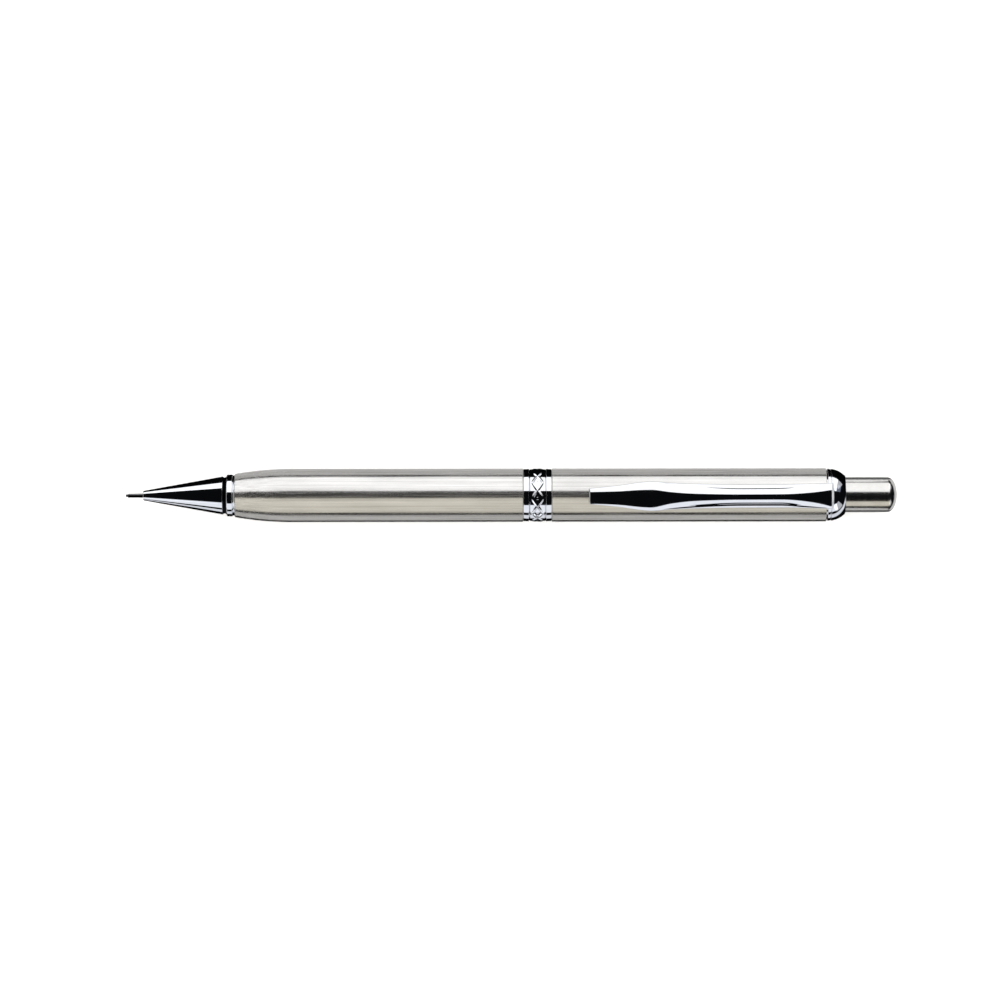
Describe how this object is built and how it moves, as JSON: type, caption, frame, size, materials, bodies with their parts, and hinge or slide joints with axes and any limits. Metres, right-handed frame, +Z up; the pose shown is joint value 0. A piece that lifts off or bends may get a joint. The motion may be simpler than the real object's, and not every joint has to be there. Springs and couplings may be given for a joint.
{
  "type": "mechanical pencil",
  "caption": "Slim push-button mechanical pencil with a polished cone point, brushed barrels, a patterned centre band, a sprung clip and an eraser under the button.",
  "frame": {"origin": "under the middle of the pencil's length, on the surface that the barrel rests on", "axes": "+X along the pencil from the point to the button, +Z up through the clip"},
  "size_m": [0.137, 0.0094, 0.0113],
  "materials": {
    "brushed_stainless": "brushed along its length",
    "brushed_button": "satin",
    "polished_chrome": "mirror polish",
    "drawn_steel": "drawn",
    "spring_steel": "drawn wire",
    "black_rubber": "moulded",
    "white_rubber": "matt, extruded",
    "black_plastic": "moulded",
    "clear_plastic": "milky, extruded",
    "turned_brass": "lathe turned",
    "graphite": "fired polymer graphite, slight sheen"
  },
  "bodies": {
    "barrel": {"front_barrel": "brushed_stainless", "tip_ring": "polished_chrome", "front_liner": "black_plastic", "chuck_sleeve": "turned_brass", "return_spring": "spring_steel", "coupling": "turned_brass", "centre_band": "polished_chrome", "rear_barrel": "brushed_stainless", "rear_liner": "black_plastic", "collar": "polished_chrome", "collar_bush": "turned_brass"},
    "tip": {"tip_cone": "polished_chrome", "lead_sleeve": "drawn_steel", "lead_retainer": "black_rubber"},
    "lead": {"lead": "graphite"},
    "plunger": {"chuck": "turned_brass", "chuck_bush": "turned_brass", "lead_tube": "clear_plastic", "tube_head": "black_plastic", "spare_leads": "graphite"},
    "clutch": {"clutch_ring": "turned_brass"},
    "button": {"push_button": "brushed_button"},
    "eraser_unit": {"eraser_holder": "drawn_steel", "eraser": "white_rubber", "cleaning_pin": "drawn_steel"},
    "clip": {"clip": "polished_chrome"}
  },
  "joints": [
    {"name": "push", "type": "slide", "parent": "barrel", "child": "plunger", "axis": [-1, 0, 0], "range_m": [0, 0.0035], "stiffness_N_per_m": 500, "springref_m": -0.004, "deforming": ["return_spring"]},
    {"name": "ring_travel", "type": "slide", "parent": "barrel", "child": "clutch", "axis": [-1, 0, 0], "range_m": [0, 0.0008]},
    {"name": "lead_feed", "type": "slide", "parent": "barrel", "child": "lead", "axis": [-1, 0, 0], "range_m": [-0.0004, 0.008]},
    {"name": "tip_removal", "type": "slide", "parent": "barrel", "child": "tip", "axis": [-1, 0, 0], "range_m": [0, 0.008]},
    {"name": "button_pull", "type": "slide", "parent": "plunger", "child": "button", "axis": [1, 0, 0], "range_m": [0, 0.014]},
    {"name": "eraser_pull", "type": "slide", "parent": "plunger", "child": "eraser_unit", "axis": [1, 0, 0], "range_m": [0, 0.0056]},
    {"name": "clip_flex", "type": "hinge", "parent": "barrel", "child": "clip", "pos_m": [0.05663, 0, 0.00953], "axis": [0, 1, 0], "range_deg": [0, 4], "stiffness_Nm_per_rad": 2, "springref_deg": -1.15}
  ],
  "couplings": [
    {"joint": "ring_travel", "follows": "push", "ratio": 0.228},
    {"joint": "eraser_pull", "follows": "button_pull", "ratio": 0.4}
  ]
}
